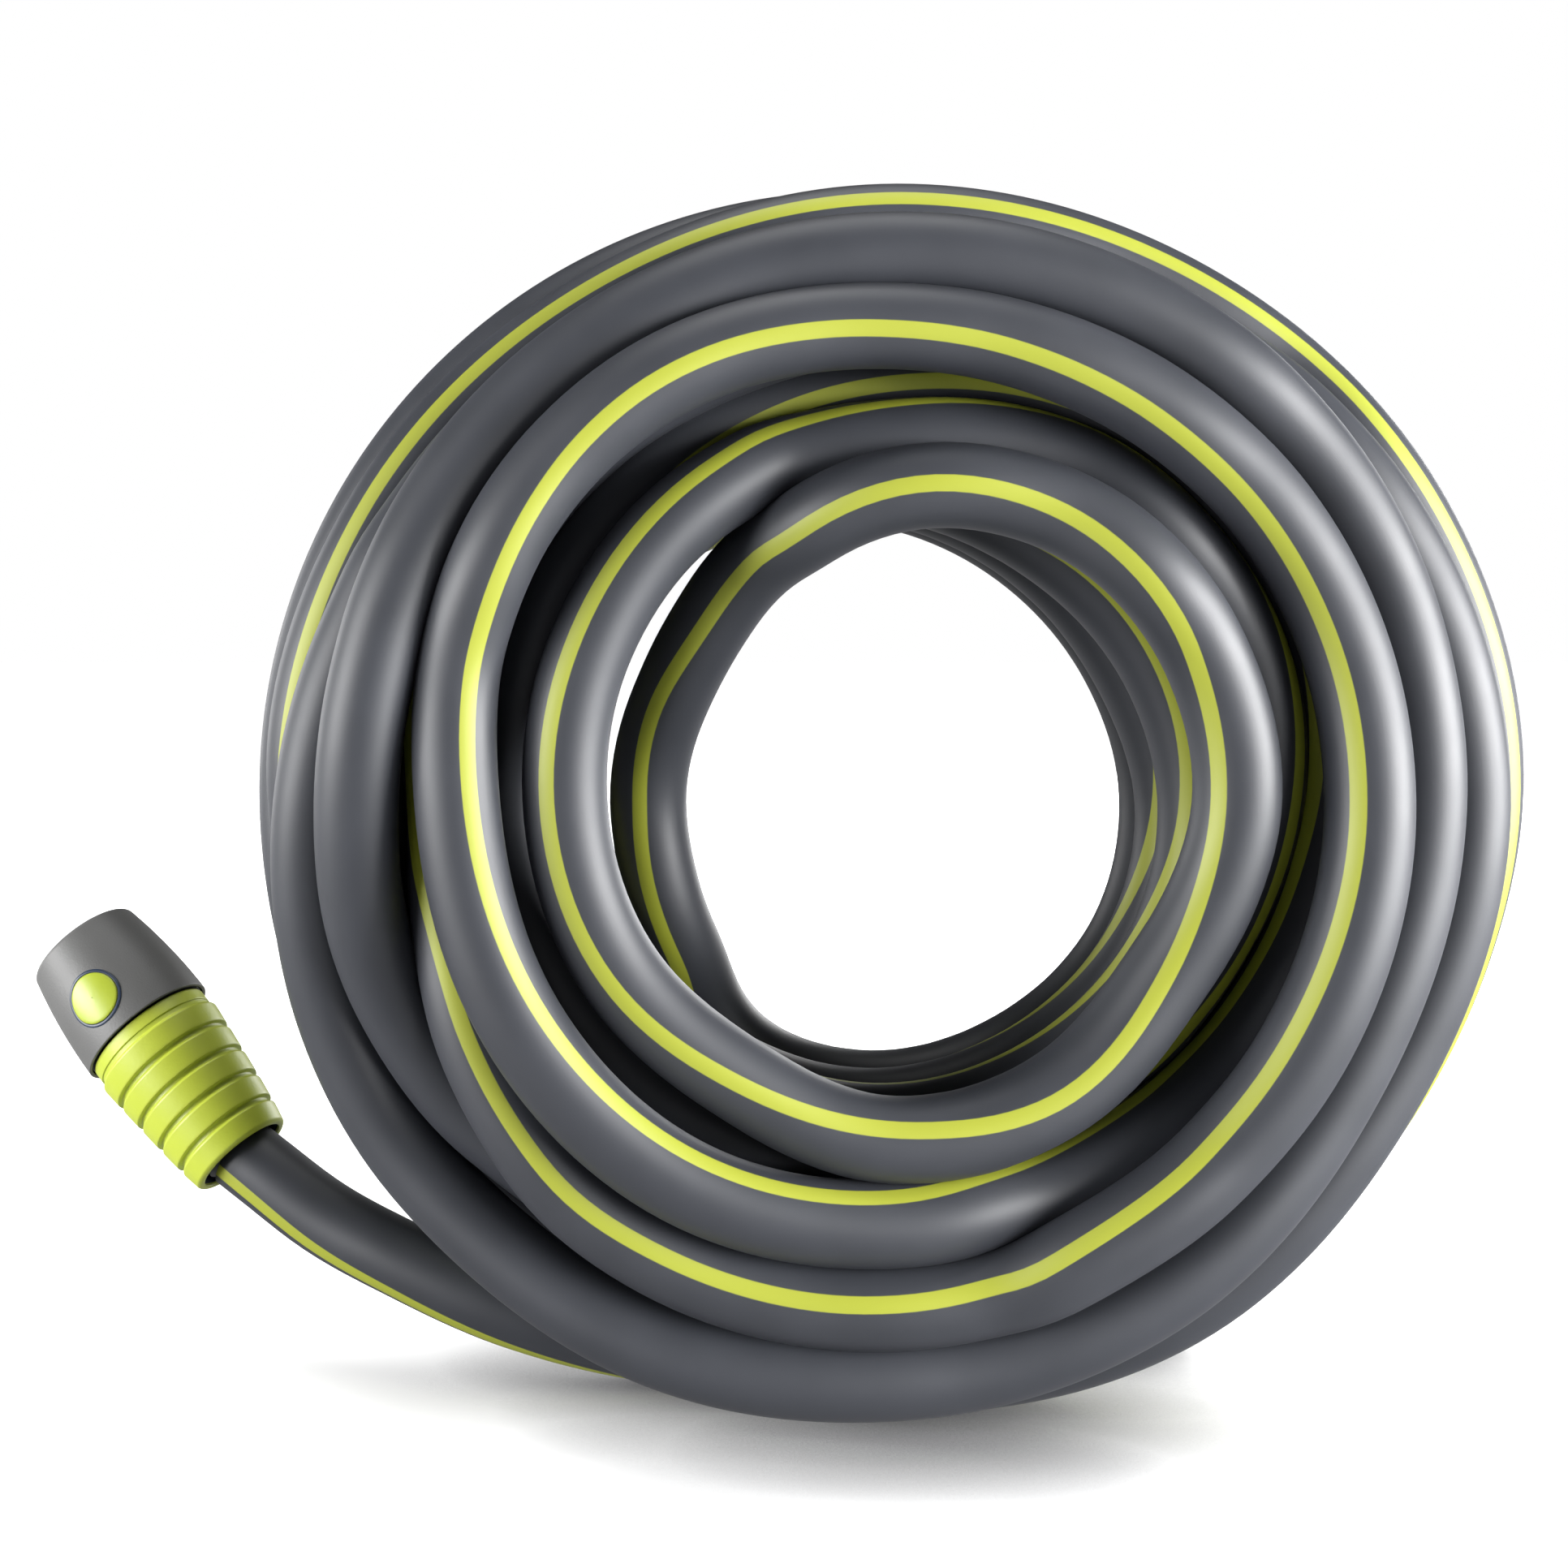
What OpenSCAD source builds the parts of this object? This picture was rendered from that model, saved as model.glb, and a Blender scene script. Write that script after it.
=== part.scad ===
// Garden hose wound into a coil of four layers that stands on its rim.
// A water-stop click connector is fitted at the tool end and a plain one at the tap end.
// +Z is up, +Y runs from the front of the coil to its back. The origin is on the floor, in the
// middle of the flat where the outermost turn stands.

/* [Hose] */
// Outer diameter of the hose
hose_d = 17.5; // [16:0.5:19]
// Bore of the hose
hose_bore_d = 12.5; // [11:0.5:13.5]

/* [Coil] */
// Free space between neighbouring turns and between layers
turn_gap = 0.9; // [0.9:0.1:2]
// Centre line radius where a layer starts at the hole
inner_r = 65; // [55:1:80]
// Turns in the front and in the rear layer, in half turns
outer_layer_turns = 3.5; // [3.5:1:4.5]
// Turns in each of the two layers between them, in half turns
middle_layer_turns = 2.5; // [2.5:1:3.5]
// Rings of points in each turn
rings_per_turn = 24; // [24:12:48]

/* [Connector] */
// Depth of the hose inside the connector
hose_grip_len = 27; // [24:0.5:29]
// Length of the spigot inside the hose
spigot_grip_len = 18; // [16:0.5:20]
// Length of the ribbed part of the union nut
nut_len = 36; // [34:0.5:40]
// Width of the smooth stop ring between the nut and the sleeve
stop_ring_len = 3.2; // [3:0.1:5]
// Wall of the union nut under its soft cover
nut_wall = 2; // [1.6:0.1:2.6]
// Number of ribs on the soft cover
rib_count = 5; // [3:1:6]
// Width of the groove between two ribs
rib_groove_w = 1.5; // [1:0.1:2]
// Depth of the groove between two ribs
rib_groove_depth = 1.1; // [0.6:0.1:1.3]
// Thickness of the soft cover over the nut's rear end
cover_wall_rear = 2.3; // [1.8:0.1:3]
// Thickness of the soft cover over the nut's front end
cover_wall_front = 2.3; // [1.8:0.1:3]
// Travel of the union nut and its collet
nut_travel = 6; // [3:0.5:7]
// Thickness of the collet's ring
collet_wall = 3.1; // [2.6:0.1:3.6]
// Length of the collet
collet_len = 19; // [17:0.5:20]
// Length of the collet's tapered, slotted rear
collet_taper_len = 13; // [10:0.5:15]
// Fingers of the collet
collet_fingers = 8; // [6:1:10]

/* [Click socket] */
// Bore that takes the click plug
socket_d = 16.1; // [15.5:0.1:17]
// Wall of the socket barrel
barrel_wall = 2.95; // [2.4:0.05:3.2]
// Length of the release sleeve
sleeve_len = 28.7; // [27:0.1:32]
// Wall of the release sleeve's skirt
skirt_wall = 0.9; // [0.8:0.1:1.5]
// Travel of the release sleeve
sleeve_travel = 3; // [2:0.1:3]
// Length of the room for the sleeve's return spring
spring_room_len = 8.1; // [7:0.1:9]
// Diameter of the coloured pad on the release sleeve
pad_d = 12.4; // [8:0.2:13]
// Width of the dark rim round the pad
pad_rim_w = 0.9; // [0.5:0.1:1.5]
// Width of a locking claw
claw_w = 4.6; // [3:0.1:5]
// Wire of the sleeve's return spring
sleeve_wire_d = 1.2; // [0.8:0.1:1.4]
// Coils of the sleeve's return spring
sleeve_spring_turns = 3; // [2:1:4]

/* [Water stop] */
// Bore of the valve chamber
chamber_d = 13.2; // [12:0.2:14]
// Opening in the valve seat
seat_d = 10; // [8:0.2:10.4]
// Thickness of the valve's seal ring
valve_ring_d = 1.6; // [1.2:0.1:1.8]
// Wire of the valve spring
valve_wire_d = 0.9; // [0.6:0.1:1.1]
// Coils of the valve spring
valve_spring_turns = 4; // [3:1:6]

/* [Placement] */
// Rear end of the tool connector, X
tool_x = -147; // [-152:1:-142]
// Rear end of the tool connector, Y
tool_y = 41; // [37:1:45]
// Rear end of the tool connector, Z
tool_z = 47.5; // [44:0.5:54]
// Lean of the tool connector's axis from upright
tool_lean = 47; // [42:1:52]
// Compass heading of the tool connector's axis
tool_heading = 152; // [146:1:158]
// Turn of the tool connector about its own axis
tool_spin = 100; // [0:1:359]
// Rear end of the tap connector, X
tap_x = 12; // [6:1:18]
// Turn of the tap connector about its own axis
tap_spin = 200; // [0:1:359]

/* [Hidden] */
$fn = 64;

// Colours
hose_grey = [0.27, 0.28, 0.31];
shell_grey = [0.52, 0.51, 0.5];
lime = [0.76, 0.85, 0.22];
navy = [0.1, 0.15, 0.22];
white_plastic = [0.86, 0.86, 0.84];
dark_plastic = [0.2, 0.21, 0.23];
steel = [0.7, 0.71, 0.73];
seal_black = [0.08, 0.08, 0.08];

// Clearances
close_gap = 0.05;
slide_gap = 0.3;
eps = 0.01;

// Side of the block of space above the floor that the hose is kept in
floor_room = 1000;

// Coil: layers run from the rear one to the front one, with half a turn to climb between two
pitch = hose_d + turn_gap;
layer_y = [for (k = [0:3]) (1 - k) * pitch];
rim_y = layer_y[1];
lead_turns = 0.25;
climb_turns = 0.5;
outer_r = inner_r + outer_layer_turns * pitch;
middle_r = inner_r + middle_layer_turns * pitch;
climb_bump = pitch * climb_turns / 2;
coil_sides = 6;
ring_angle = 360 / rings_per_turn;
foot_cut = hose_d / 10;
coil_z = outer_r * cos(ring_angle / 2) + hose_d / 2 - foot_cut;

// Turn counts at which each stretch of the coil ends
rear_end = lead_turns + outer_layer_turns;
layer3_start = rear_end + climb_turns;
layer3_end = layer3_start + middle_layer_turns;
layer2_start = layer3_end + climb_turns;
layer2_end = layer2_start + middle_layer_turns;
front_start = layer2_end + climb_turns;
front_end = front_start + outer_layer_turns;
rim_start = front_end + climb_turns;
rim_end = rim_start + climb_turns;

// Radius, depth and clockwise angle of the centre line after t turns
function climb_share(t, start) = (t - start) / climb_turns;
function bump(u) = climb_bump * (1 - abs(2 * u - 1));
function coil_radius(t) =
    t < rear_end ? inner_r + (rear_end - t) * pitch :
    t < layer3_start ? inner_r - bump(climb_share(t, rear_end)) :
    t < layer3_end ? inner_r + (t - layer3_start) * pitch :
    t < layer2_start ? middle_r + bump(climb_share(t, layer3_end)) :
    t < layer2_end ? middle_r - (t - layer2_start) * pitch :
    t < front_start ? inner_r - bump(climb_share(t, layer2_end)) :
    t < front_end ? inner_r + (t - front_start) * pitch :
    t < rim_start ? outer_r + bump(climb_share(t, front_end)) :
    outer_r;
function coil_depth(t) =
    t < rear_end ? layer_y[0] :
    t < layer3_start ? layer_y[0] - climb_share(t, rear_end) * pitch :
    t < layer3_end ? layer_y[1] :
    t < layer2_start ? layer_y[1] - climb_share(t, layer3_end) * pitch :
    t < layer2_end ? layer_y[2] :
    t < front_start ? layer_y[2] - climb_share(t, layer2_end) * pitch :
    t < front_end ? layer_y[3] :
    t < rim_start ? layer_y[3] + climb_share(t, front_end) * (rim_y - layer_y[3]) :
    rim_y;
function coil_angle(t) = 180 + 360 * (t - rear_end);
function coil_point(t) = [
    coil_radius(t) * sin(coil_angle(t)),
    coil_depth(t),
    coil_z + coil_radius(t) * cos(coil_angle(t))
];

// Rings lie half a step off the quarter points, so the coil stands on a flat chord
first_turn = 0.5 / rings_per_turn;
last_turn = rim_end + 0.5 / rings_per_turn;
coil_rings = round((last_turn - first_turn) * rings_per_turn);
function ring_turn(i) = first_turn + i / rings_per_turn;
function coil_heading(t) = [cos(coil_angle(t)), 0, -sin(coil_angle(t))];

// Sweep of a round section along ring centres
function unit(v) = v / norm(v);
function ring_of(centre, u, v, r, sides) = [
    for (k = [0:sides - 1]) centre + r * (cos(360 * k / sides) * u + sin(360 * k / sides) * v)
];
function tube_faces(rings, sides) = concat(
    [for (i = [0:rings - 2], k = [0:sides - 1])
        let (a = i * sides + k, b = i * sides + (k + 1) % sides)
        [a, b, a + sides]],
    [for (i = [0:rings - 2], k = [0:sides - 1])
        let (a = i * sides + k, b = i * sides + (k + 1) % sides)
        [b, b + sides, a + sides]],
    [for (k = [1:sides - 2]) [0, k + 1, k]],
    [for (k = [1:sides - 2]) let (s = (rings - 1) * sides) [s, s + k, s + k + 1]]
);

// Least gap between turns, on ring centres and on the middles of the chords between them
gap_points = [
    for (i = [0:2 * coil_rings])
        i % 2 == 0 ? coil_point(ring_turn(i / 2)) :
        (coil_point(ring_turn((i - 1) / 2)) + coil_point(ring_turn((i + 1) / 2))) / 2
];
least_gap = min([
    for (i = [0:2 * coil_rings - rings_per_turn])
        min([for (j = [i + rings_per_turn:2 * coil_rings]) norm(gap_points[i] - gap_points[j])])
]) - hose_d;
echo(least_gap_between_turns = least_gap);

// Connector: radial chain from the hose outwards
collet_r = hose_d / 2 + close_gap + collet_wall;
thread_r = collet_r + slide_gap;
nut_r = thread_r + slide_gap + nut_wall;
mouth_r = hose_d / 2 + 2.1;
stop_ring_r = nut_r + 1.4;
sleeve_r = stop_ring_r + slide_gap + skirt_wall;
barrel_r = socket_d / 2 + barrel_wall;
claw_ring_r = barrel_r + 0.15 + 0.85;
sleeve_bore_r = claw_ring_r + slide_gap;
lip_r = barrel_r + slide_gap;
tip_r = lip_r + 3.2;
spring_room_r = stop_ring_r - 0.9;
sleeve_spring_r = spring_room_r - 0.5 - sleeve_wire_d / 2;
spigot_tip_z = hose_grip_len - spigot_grip_len;
hose_joint_z = min(spigot_tip_z, hose_grip_len - collet_len - nut_travel) - 1;
hose_lead_z = hose_joint_z - 0.6 * hose_d;
water_r = hose_bore_d / 2 - 1.75;
chamber_r = chamber_d / 2;

// Free stretches: hand-set points between the coil and each connector
tool_place = [tool_x, tool_y, tool_z];
tool_axis = [
    sin(tool_lean) * cos(tool_heading),
    sin(tool_lean) * sin(tool_heading),
    cos(tool_lean)
];
tail_middle = [
    [-38, 1, 11], [-58, 4, 15], [-80, 11, 21], [-100, 20, 27], [-118, 29, 34]
];
tail_route = concat(
    [coil_point(last_turn)],
    tail_middle,
    [tool_place + hose_lead_z * tool_axis, tool_place + hose_joint_z * tool_axis]
);
tap_lean = 84.7;
tap_z = 13.6;
tap_y = layer_y[0] + hose_d / 2 + sleeve_r + 1.6;
tap_place = [tap_x, tap_y, tap_z];
tap_axis = [sin(tap_lean), 0, cos(tap_lean)];
tap_middle = [
    [-30, 45, 12], [-55, 43, 19], [-79, 38, 31], [-101, 32, 50], [-119, 26, 73], [-130, 20, 97]
];
tap_route = concat(
    [tap_place + hose_joint_z * tap_axis, tap_place + hose_lead_z * tap_axis],
    tap_middle,
    [coil_point(first_turn)]
);
free_sides = 10;
rings_per_span = 3;

// Smooth curve through a route, with set headings at its two ends
function route_slope(route, i, first, last) =
    i == 0 ? first * norm(route[1] - route[0]) :
    i == len(route) - 1 ? last * norm(route[i] - route[i - 1]) :
    (route[i + 1] - route[i - 1]) / 2;
function on_curve(p, q, mp, mq, u) =
    (2 * u ^ 3 - 3 * u ^ 2 + 1) * p + (u ^ 3 - 2 * u ^ 2 + u) * mp +
    (3 * u ^ 2 - 2 * u ^ 3) * q + (u ^ 3 - u ^ 2) * mq;
function smooth_route(route, first, last) = concat(
    [for (i = [0:len(route) - 2], s = [0:rings_per_span - 1])
        on_curve(
            route[i], route[i + 1],
            route_slope(route, i, first, last), route_slope(route, i + 1, first, last),
            s / rings_per_span
        )],
    [route[len(route) - 1]]
);

// Connector: stations along its axis, from the rear end of the nut
body_split_z = nut_len + stop_ring_len + 0.8;
flange_top_z = body_split_z + 2.4;
seat_top_z = flange_top_z + 3.4;
bore_start_z = seat_top_z + 3.6;
sleeve_z = nut_len + stop_ring_len + slide_gap;
sleeve_top_z = sleeve_z + sleeve_len;
barrel_top_z = sleeve_top_z - 1.2;
spring_top_z = flange_top_z + spring_room_len;
claw_z = spring_top_z + 6.5;
claw_len = 4.1;
chamber_z = hose_grip_len + 1;
poppet_disc = 1;
poppet_z = flange_top_z - poppet_disc - valve_ring_d - 2 * close_gap;
poppet_hub_r = 4.5;
poppet_stem_r = 1.5;
pad_z = spring_top_z + 3;
pad_depth = 0.8;
pad_height = 0.5;
mouth_chamfer = 0.8;

// Ribs of the soft cover taper towards the hose
rib_w = nut_len / rib_count;
cover_rear_r = mouth_r + cover_wall_rear;
cover_front_r = nut_r + cover_wall_front;
function cover_r(z) = cover_rear_r + (cover_front_r - cover_rear_r) * (z / nut_len) ^ 0.8;

// Outline of the release sleeve, from its skirt to its rounded tip
tip_round = 1.6;
sleeve_steps = 8;
function sleeve_profile(u) = sleeve_r - (sleeve_r - tip_r) * u ^ 2;
function sleeve_outline(grow) = concat(
    [for (k = [0:sleeve_steps])
        let (u = k / sleeve_steps)
        [sleeve_profile(u) + grow, sleeve_z + u * (sleeve_len - tip_round)]],
    [for (a = [30:30:90])
        [tip_r - tip_round * (1 - cos(a)) + grow, sleeve_top_z - tip_round * (1 - sin(a))]]
);

module tool_frame() {
    translate(tool_place) rotate([0, tool_lean, tool_heading]) rotate([0, 0, tool_spin]) children();
}

module tap_frame() {
    translate(tap_place) rotate([0, tap_lean, 0]) rotate([0, 0, tap_spin]) children();
}

module above_floor() {
    intersection() {
        children();
        translate([-floor_room / 2, -floor_room / 2, 0]) cube(floor_room);
    }
}

module swept_hose(centres, first, last) {
    count = len(centres);
    points = [
        for (i = [0:count - 1])
            let (
                along = i == 0 ? first : i == count - 1 ? last : unit(centres[i + 1] - centres[i - 1]),
                side = unit(cross(along, [0, 1, 0]))
            )
            each ring_of(centres[i], side, cross(along, side), hose_d / 2, free_sides)
    ];
    polyhedron(points, tube_faces(count, free_sides));
}

module hose_coil() {
    points = [
        for (i = [0:coil_rings])
            let (a = coil_angle(ring_turn(i)))
            each ring_of(coil_point(ring_turn(i)), [sin(a), 0, cos(a)], [0, -1, 0], hose_d / 2, coil_sides)
    ];
    color(hose_grey) above_floor() polyhedron(points, tube_faces(coil_rings + 1, coil_sides));
}

module hose_tail() {
    heading = coil_heading(last_turn);
    color(hose_grey) above_floor()
        swept_hose(smooth_route(tail_route, heading, tool_axis), heading, tool_axis);
}

module hose_tap_run() {
    heading = coil_heading(first_turn);
    color(hose_grey) above_floor()
        swept_hose(smooth_route(tap_route, -tap_axis, heading), -tap_axis, heading);
}

module tube(r_out, r_in, z, length) {
    translate([0, 0, z]) difference() {
        cylinder(r = r_out, h = length);
        translate([0, 0, -eps]) cylinder(r = r_in, h = length + 2 * eps);
    }
}

module ring_seal(ring_r, thickness, z) {
    translate([0, 0, z]) rotate_extrude() translate([ring_r, 0]) circle(d = thickness);
}

module coil_spring(ring_r, wire_d, turns, z, height) {
    steps = 8;
    sides = 6;
    count = turns * steps;
    rise = height - wire_d;
    points = [
        for (i = [0:count])
            let (a = 360 * i / steps, u = [cos(a), sin(a), 0])
            each ring_of(
                ring_r * u + [0, 0, z + wire_d / 2 + rise * i / count],
                u, [0, 0, 1], wire_d / 2, sides
            )
    ];
    polyhedron(points, tube_faces(count + 1, sides));
}

module hose_end() {
    color(hose_grey) tube(hose_d / 2, hose_bore_d / 2, hose_joint_z, hose_grip_len - hose_joint_z);
}

// Rear half of the body: barbed spigot, hose stop and the thread's core
module spigot() {
    barb_r = hose_bore_d / 2;
    barb_len = 5;
    color(dark_plastic) difference() {
        rotate_extrude() polygon(concat(
            [[0, spigot_tip_z], [barb_r - 0.8, spigot_tip_z]],
            [for (k = [0:2], step = [0, 1])
                [barb_r - 0.5 * step, spigot_tip_z + barb_len * (k + 0.6 + 0.4 * step)]],
            [
                [barb_r - 0.5, hose_grip_len], [thread_r, hose_grip_len],
                [thread_r, body_split_z], [0, body_split_z]
            ]
        ));
        translate([0, 0, spigot_tip_z - eps]) cylinder(r = water_r, h = chamber_z - spigot_tip_z + 2 * eps);
        translate([0, 0, chamber_z]) cylinder(r = chamber_r, h = body_split_z - chamber_z + 1);
        tube(chamber_r + 3.3, chamber_r + 1.5, body_split_z - 1.6, 2);
    }
}

// Front half of the body: spring flange, valve seat and the socket for the plug
module barrel(has_valve) {
    hole_r = has_valve ? seat_d / 2 : chamber_r;
    color(dark_plastic) difference() {
        union() {
            translate([0, 0, body_split_z]) cylinder(r = stop_ring_r, h = flange_top_z - body_split_z);
            translate([0, 0, body_split_z]) cylinder(r = barrel_r, h = barrel_top_z - body_split_z);
        }
        translate([0, 0, body_split_z - eps]) cylinder(r = chamber_r, h = flange_top_z - body_split_z);
        translate([0, 0, body_split_z]) cylinder(r = hole_r, h = seat_top_z - body_split_z + 2 * eps);
        translate([0, 0, seat_top_z]) cylinder(r = socket_d / 2 + 0.5, h = bore_start_z - seat_top_z);
        translate([0, 0, seat_top_z + eps]) cylinder(r = socket_d / 2, h = sleeve_top_z - seat_top_z);
        translate([0, 0, barrel_top_z - mouth_chamfer])
            cylinder(r1 = socket_d / 2, r2 = socket_d / 2 + 2 * mouth_chamfer, h = 2 * mouth_chamfer);
        for (side = [0, 180]) rotate([0, 0, side])
            translate([0, -claw_w / 2 - 0.2, claw_z - 0.2])
                cube([barrel_r + 1, claw_w + 0.4, claw_len + 0.4]);
    }
}

module joint_seal() {
    color(seal_black) ring_seal(chamber_r + 2.4, 1.6, body_split_z - 0.8);
}

// Spring ring with two claws that reach through the barrel's windows
module claw_ring() {
    color(white_plastic) union() {
        tube(claw_ring_r, barrel_r + 0.15, claw_z - 1, claw_len + 2);
        for (side = [0, 180]) rotate([0, 0, side])
            translate([socket_d / 2 + 0.2, -claw_w / 2, claw_z])
                cube([barrel_r + 0.5 - socket_d / 2 - 0.2, claw_w, claw_len]);
    }
}

module sleeve_spring() {
    color(steel) coil_spring(
        sleeve_spring_r, sleeve_wire_d, sleeve_spring_turns,
        flange_top_z + 0.1, spring_top_z - flange_top_z - 0.2
    );
}

// Band that follows the sleeve's outer face between two offsets from it
module sleeve_band(inside, outside) {
    rotate_extrude() polygon(concat(
        sleeve_outline(outside),
        [for (k = [sleeve_steps:-1:0])
            let (u = k / sleeve_steps)
            [sleeve_profile(u) - inside, sleeve_z + u * (sleeve_len - tip_round)]]
    ));
}

module pad_post(d) {
    translate([0, 0, pad_z]) rotate([0, 90, 0]) cylinder(d = d, h = sleeve_r + 5);
}

module release_sleeve() {
    skirt_bore_r = stop_ring_r + slide_gap;
    lip_z = claw_z + claw_len + 1 + sleeve_travel + slide_gap;
    color(shell_grey) difference() {
        rotate_extrude() polygon(concat(
            sleeve_outline(0),
            [
                [lip_r, sleeve_top_z], [lip_r, lip_z], [sleeve_bore_r, lip_z],
                [sleeve_bore_r, spring_top_z], [spring_room_r, spring_top_z],
                [spring_room_r, flange_top_z + sleeve_travel + slide_gap],
                [skirt_bore_r, flange_top_z + sleeve_travel + slide_gap],
                [skirt_bore_r, sleeve_z]
            ]
        ));
        intersection() {
            sleeve_band(pad_depth, 2);
            pad_post(pad_d + 2 * pad_rim_w + 2 * close_gap);
        }
    }
}

module sleeve_pad() {
    color(lime) intersection() {
        sleeve_band(pad_depth, pad_height);
        pad_post(pad_d);
    }
}

module pad_rim() {
    color(navy) intersection() {
        sleeve_band(pad_depth, pad_height / 2);
        difference() {
            pad_post(pad_d + 2 * pad_rim_w);
            pad_post(pad_d + 2 * close_gap);
        }
    }
}

// Split ring whose fingers the nut presses on the hose
module collet() {
    rear_z = hose_grip_len - collet_len;
    color(white_plastic) difference() {
        rotate_extrude() polygon([
            [hose_d / 2 + close_gap, rear_z],
            [hose_d / 2 + close_gap + collet_wall / 2, rear_z],
            [collet_r, rear_z + collet_taper_len],
            [collet_r, hose_grip_len],
            [hose_d / 2 + close_gap, hose_grip_len]
        ]);
        for (k = [0:collet_fingers - 1]) rotate([0, 0, 360 * k / collet_fingers])
            translate([0, -0.5, rear_z - eps]) cube([collet_r + 1, 1, collet_taper_len + 1]);
    }
}

module union_nut() {
    cone_z = hose_grip_len - collet_len + collet_taper_len - slide_gap;
    color(dark_plastic) rotate_extrude() polygon([
        [mouth_r, 1], [mouth_r + 1.1, 1], [nut_r, nut_len], [nut_r, nut_len + stop_ring_len],
        [thread_r + slide_gap, nut_len + stop_ring_len],
        [thread_r + slide_gap, cone_z],
        [mouth_r, 6]
    ]);
}

// Soft ribbed cover moulded over the nut
module nut_cover() {
    color(lime) rotate_extrude() polygon(concat(
        [[mouth_r, 0]],
        [for (k = [0:rib_count - 1])
            let (low = k * rib_w, high = (k + 1) * rib_w - rib_groove_w)
            each [
                [cover_r(low) - (k == 0 ? 0.6 : 0), low],
                [cover_r(low) + 0.1, low + 0.6],
                [cover_r(high), high - 0.5],
                [cover_r(high) - 0.4, high],
                [cover_r(high) - rib_groove_depth, high + 0.2],
                [cover_r(high) - rib_groove_depth, high + rib_groove_w - 0.1]
            ]],
        [
            [stop_ring_r - 0.4, nut_len], [stop_ring_r, nut_len + 0.4],
            [stop_ring_r, nut_len + stop_ring_len - 0.4],
            [stop_ring_r - 0.4, nut_len + stop_ring_len],
            [nut_r, nut_len + stop_ring_len], [nut_r, nut_len],
            [mouth_r + 1.1, 1], [mouth_r, 1]
        ]
    ));
}

// Spider that carries the valve spring at the bottom of the chamber
module valve_guide() {
    color(white_plastic) union() {
        tube(chamber_r - close_gap, chamber_r - 1.6, chamber_z, 2);
        tube(poppet_stem_r + 1.5, poppet_stem_r + close_gap, chamber_z, 2);
        for (k = [0:2]) rotate([0, 0, 120 * k])
            translate([2.6, -0.8, chamber_z]) cube([chamber_r - 3.6, 1.6, 2]);
    }
}

module valve_spring() {
    color(steel) coil_spring(
        4.2, valve_wire_d, valve_spring_turns,
        chamber_z + 2.1, poppet_z - chamber_z - 2.2
    );
}

module valve_poppet() {
    color(white_plastic) union() {
        translate([0, 0, poppet_z]) cylinder(r = chamber_r - 0.4, h = poppet_disc);
        translate([0, 0, poppet_z]) cylinder(r = poppet_hub_r, h = 2.5);
        translate([0, 0, chamber_z + 1]) cylinder(r = poppet_stem_r, h = poppet_z - chamber_z);
        translate([0, 0, poppet_z]) cylinder(r = 1.8, h = bore_start_z - 0.2 - poppet_z);
    }
}

module valve_seal() {
    color(seal_black) ring_seal(
        poppet_hub_r + close_gap + valve_ring_d / 2, valve_ring_d,
        flange_top_z - close_gap - valve_ring_d / 2
    );
}

hose_coil();
hose_tail();
hose_tap_run();
tool_frame() hose_end();  // tool_hose_end
tool_frame() spigot();  // tool_spigot
tool_frame() barrel(true);  // tool_barrel
tool_frame() joint_seal();  // tool_joint_seal
tool_frame() claw_ring();  // tool_claw_ring
tool_frame() sleeve_spring();  // tool_sleeve_spring
tool_frame() release_sleeve();  // tool_release_sleeve
tool_frame() sleeve_pad();  // tool_sleeve_pad
tool_frame() pad_rim();  // tool_pad_rim
tool_frame() collet();  // tool_collet
tool_frame() union_nut();  // tool_union_nut
tool_frame() nut_cover();  // tool_nut_cover
tool_frame() valve_guide();  // tool_valve_guide
tool_frame() valve_spring();  // tool_valve_spring
tool_frame() valve_poppet();  // tool_valve_poppet
tool_frame() valve_seal();  // tool_valve_seal
tap_frame() hose_end();  // tap_hose_end
tap_frame() spigot();  // tap_spigot
tap_frame() barrel(false);  // tap_barrel
tap_frame() joint_seal();  // tap_joint_seal
tap_frame() claw_ring();  // tap_claw_ring
tap_frame() sleeve_spring();  // tap_sleeve_spring
tap_frame() release_sleeve();  // tap_release_sleeve
tap_frame() sleeve_pad();  // tap_sleeve_pad
tap_frame() pad_rim();  // tap_pad_rim
tap_frame() collet();  // tap_collet
tap_frame() union_nut();  // tap_union_nut
tap_frame() nut_cover();  // tap_nut_cover
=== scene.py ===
# Garden hose wound by hand into a standing coil, with a click connector on each end.
# Lengths are in metres, or in millimetres where a comment says so. The origin is on the floor
# under the rim, +Z is up and +Y runs from the front of the coil to its back.
import math

import bpy
import numpy as np
from mathutils import Matrix, Vector


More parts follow.
